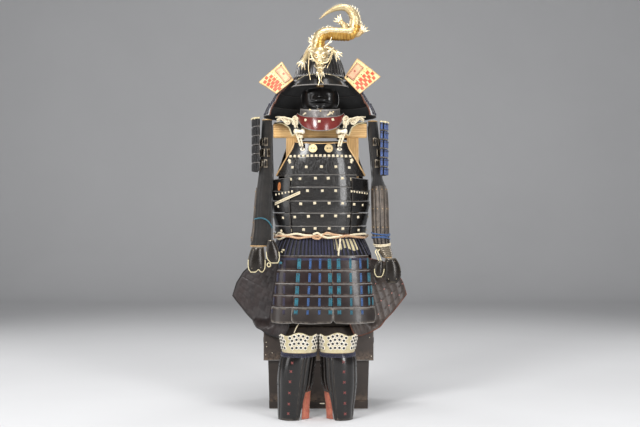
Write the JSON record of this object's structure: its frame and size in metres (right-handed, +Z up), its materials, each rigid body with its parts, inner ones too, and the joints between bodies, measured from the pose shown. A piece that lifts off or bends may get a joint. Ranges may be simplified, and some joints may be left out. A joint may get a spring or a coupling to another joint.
{
  "type": "samurai armour on a wooden stand and storage chest",
  "caption": "Laced lamellar suit of armour with crested helmet, mask, cuirass, skirt panels, sleeves, thigh and shin guards, set out on a post stand over a lidded chest.",
  "frame": {"origin": "on the floor, under the middle of the whole set's box", "axes": "+Z up, along the set's height; the armour faces -Y; +X is its own left-hand side, the viewer's right"},
  "size_m": [0.74, 0.5956, 1.6816],
  "materials": {
    "chest_lacquer": "worn dark lacquer over wood",
    "pine": "plain planed softwood",
    "black_iron": "black lacquered iron, satin",
    "stencilled_leather": "patterned leather facing, satin",
    "gilt": "gilt, polished with darker hollows",
    "grained_iron": "grained dark silver grey",
    "red_lacquer": "maroon lacquer, glossy",
    "black_lacquer": "black lacquer over leather-faced plates, glossy with fine cracks",
    "black_cloth": "dark woven hemp",
    "navy_lacing": "flat silk lacing, matt",
    "cream_cord": "braided cream cord",
    "brown_lacquer": "brown-black lacquered lames, satin",
    "scaled_leather": "small lacquered leather scales on cloth",
    "bronzed_iron": "worn brown-grey lacquered iron",
    "shin_lacquer": "black lacquered splints, satin",
    "tan_leather": "smooth terracotta leather",
    "cream_cloth": "quilted cream hemp with pale hexagonal plates"
  },
  "bodies": {
    "root": {"chest_body": "chest_lacquer", "chest_lid": "chest_lacquer", "stand_base": "chest_lacquer", "stand_post_left": "pine", "stand_post_right": "pine", "stand_crossbar": "pine", "stand_head_pole": "pine", "helmet_bowl": "black_iron", "helmet_visor": "black_iron", "neck_guard_lame_1": "black_iron", "neck_guard_lame_2": "black_iron", "neck_guard_lame_3": "black_iron", "helmet_turnback_left": "stencilled_leather", "helmet_turnback_right": "stencilled_leather", "dragon_crest": "gilt", "face_mask": "black_iron", "throat_guard_upper": "grained_iron", "throat_guard_lower": "red_lacquer", "cuirass_chest_plate": "black_lacquer", "cuirass_front_lame_1": "black_lacquer", "cuirass_front_lame_2": "black_lacquer", "cuirass_front_lame_3": "black_lacquer", "cuirass_front_lame_4": "black_lacquer", "cuirass_front_lame_5": "black_lacquer", "cuirass_front_lame_6": "black_lacquer", "cuirass_side_right": "black_lacquer", "cuirass_side_left": "black_lacquer", "cuirass_back_top": "black_lacquer", "cuirass_back_lames": "black_lacquer", "shoulder_strap_left": "black_cloth", "shoulder_strap_right": "black_cloth", "tasset_lacing": "navy_lacing", "waist_cord": "cream_cord", "waist_cord_end": "cream_cord", "tasset_1": "brown_lacquer", "tasset_2": "brown_lacquer", "tasset_3": "brown_lacquer", "tasset_4": "brown_lacquer", "tasset_5": "brown_lacquer", "tasset_6": "brown_lacquer", "tasset_7": "brown_lacquer", "thigh_guard_left": "scaled_leather", "thigh_guard_right": "scaled_leather", "thigh_guard_band": "black_cloth", "sleeve_left": "black_cloth", "sleeve_right": "black_cloth", "hand_plate_left": "bronzed_iron", "thumb_plate_left": "bronzed_iron", "hand_plate_right": "bronzed_iron", "thumb_plate_right": "bronzed_iron", "shoulder_guard_left": "navy_lacing", "shoulder_guard_right": "navy_lacing", "shoulder_cord_left": "cream_cord", "shoulder_cord_right": "cream_cord", "shin_guard_left": "shin_lacquer", "shin_leather_left": "tan_leather", "knee_guard_left": "cream_cloth", "shin_guard_right": "shin_lacquer", "shin_leather_right": "tan_leather", "knee_guard_right": "cream_cloth"}
  },
  "joints": []
}
